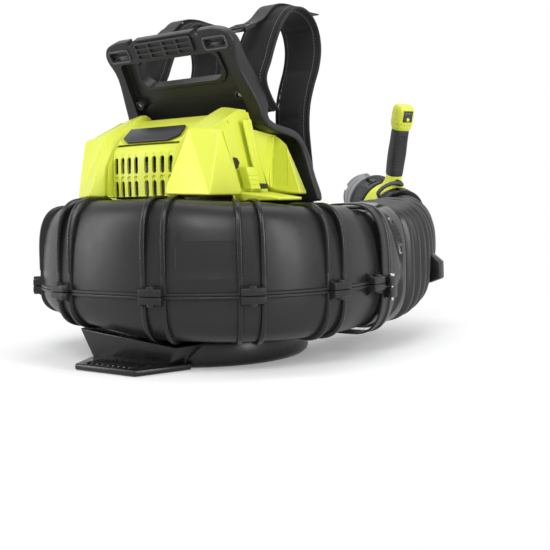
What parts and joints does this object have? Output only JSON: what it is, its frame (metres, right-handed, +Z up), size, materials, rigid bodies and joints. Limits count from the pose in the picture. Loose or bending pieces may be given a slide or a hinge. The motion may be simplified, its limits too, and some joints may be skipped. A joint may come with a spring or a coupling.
{
  "type": "backpack leaf blower",
  "caption": "Battery backpack leaf blower: ring-shaped air duct round a fan drum, lime housing with battery bays, harness frame, bent bellows hose and control handle.",
  "frame": {"origin": "centre of the fan drum's flat bottom, on the impeller's axis, at ground level", "axes": "+Z up along the impeller's axis, +Y towards the wearer, +X towards the air outlet"},
  "size_m": [0.4993, 0.6871, 0.4846],
  "materials": {
    "satin_black": "fine moulded texture",
    "gloss_black": "gloss",
    "lime": "satin",
    "rubber": "matt",
    "light_grey": "satin",
    "dark_grey": "satin",
    "fabric": "woven",
    "steel": "satin",
    "copper": "enamelled winding",
    "circuit_board": "satin",
    "aluminium": "satin"
  },
  "bodies": {
    "machine": {"fan_drum": "satin_black", "fan_case": "satin_black", "foot_bracket": "satin_black", "ring_duct_upper_left": "satin_black", "ring_duct_upper_right": "satin_black", "ring_duct_lower_left": "satin_black", "ring_duct_lower_right": "satin_black", "duct_end_cap": "satin_black", "duct_throat": "satin_black", "backpack_frame": "satin_black", "ladder_lock_left": "satin_black", "ladder_lock_right": "satin_black", "outlet_clamp_band": "satin_black", "outlet_cuff": "gloss_black", "main_housing": "lime", "vent_panel": "lime", "battery_bay_left": "lime", "battery_bay_right": "lime", "carry_grip": "rubber", "bellows_hose": "rubber", "badge_plate": "dark_grey", "inlet_deck": "dark_grey", "battery_terminals_left": "dark_grey", "battery_terminals_right": "dark_grey", "back_pad": "fabric", "lumbar_pad": "fabric", "shoulder_strap_left": "fabric", "shoulder_strap_right": "fabric", "upper_webbing_left": "fabric", "upper_webbing_right": "fabric", "lower_webbing_left": "fabric", "lower_webbing_right": "fabric", "bearing_lower": "steel", "bearing_upper": "steel", "frame_screw_left": "steel", "frame_screw_right": "steel", "clamp_screw": "steel", "motor_stator": "copper", "controller_board": "circuit_board", "motor_can": "aluminium", "heat_sink": "aluminium"},
    "rotor": {"impeller": "dark_grey", "motor_rotor": "steel", "rotor_shaft": "steel", "impeller_nut": "steel"},
    "hose_end": {"hose_end_clamp": "satin_black", "hose_end_screw": "steel"},
    "tube": {"blower_tube": "satin_black", "tube_socket": "light_grey", "handle_base": "lime", "grip_sleeve": "rubber", "handle_head": "lime", "control_panel": "dark_grey", "strain_relief": "rubber", "control_cable": "rubber"},
    "collar": {"locking_collar": "dark_grey"},
    "trigger": {"trigger": "rubber"},
    "power_button": {"power_button": "lime"},
    "latch_left": {"battery_latch_left": "lime"},
    "latch_right": {"battery_latch_right": "lime"}
  },
  "joints": [
    {"name": "impeller_spin", "type": "hinge", "parent": "machine", "child": "rotor", "pos_m": [0, 0, 0.08], "axis": [0, 0, 1], "continuous": true},
    {"name": "hose_swing", "type": "hinge", "parent": "machine", "child": "hose_end", "pos_m": [0.163, 0.19, 0.122], "axis": [0, 0, -1], "range_deg": [-8, 50], "deforming": ["bellows_hose", "control_cable"]},
    {"name": "tube_swivel", "type": "hinge", "parent": "hose_end", "child": "tube", "pos_m": [0.094, 0.398, 0.186], "axis": [-0.792, 0.5313, 0.3008], "range_deg": [-20, 20], "deforming": ["control_cable"]},
    {"name": "collar_turn", "type": "hinge", "parent": "tube", "child": "collar", "pos_m": [0.094, 0.398, 0.186], "axis": [-0.792, 0.5313, 0.3008], "range_deg": [0, 30]},
    {"name": "trigger_pull", "type": "hinge", "parent": "tube", "child": "trigger", "pos_m": [0.12754, 0.3755, 0.34732], "axis": [-0.5571, -0.8304, 0], "range_deg": [0, 12], "stiffness_Nm_per_rad": 0.6, "springref_deg": -9.74},
    {"name": "power_press", "type": "slide", "parent": "tube", "child": "power_button", "axis": [-0.792, 0.5313, 0.3008], "range_m": [0, 0.001], "stiffness_N_per_m": 400, "springref_m": -0.001},
    {"name": "latch_left_press", "type": "slide", "parent": "machine", "child": "latch_left", "axis": [1, 0, 0], "range_m": [0, 0.003], "stiffness_N_per_m": 500, "springref_m": -0.002},
    {"name": "latch_right_press", "type": "slide", "parent": "machine", "child": "latch_right", "axis": [-1, 0, 0], "range_m": [0, 0.003], "stiffness_N_per_m": 500, "springref_m": -0.002}
  ]
}
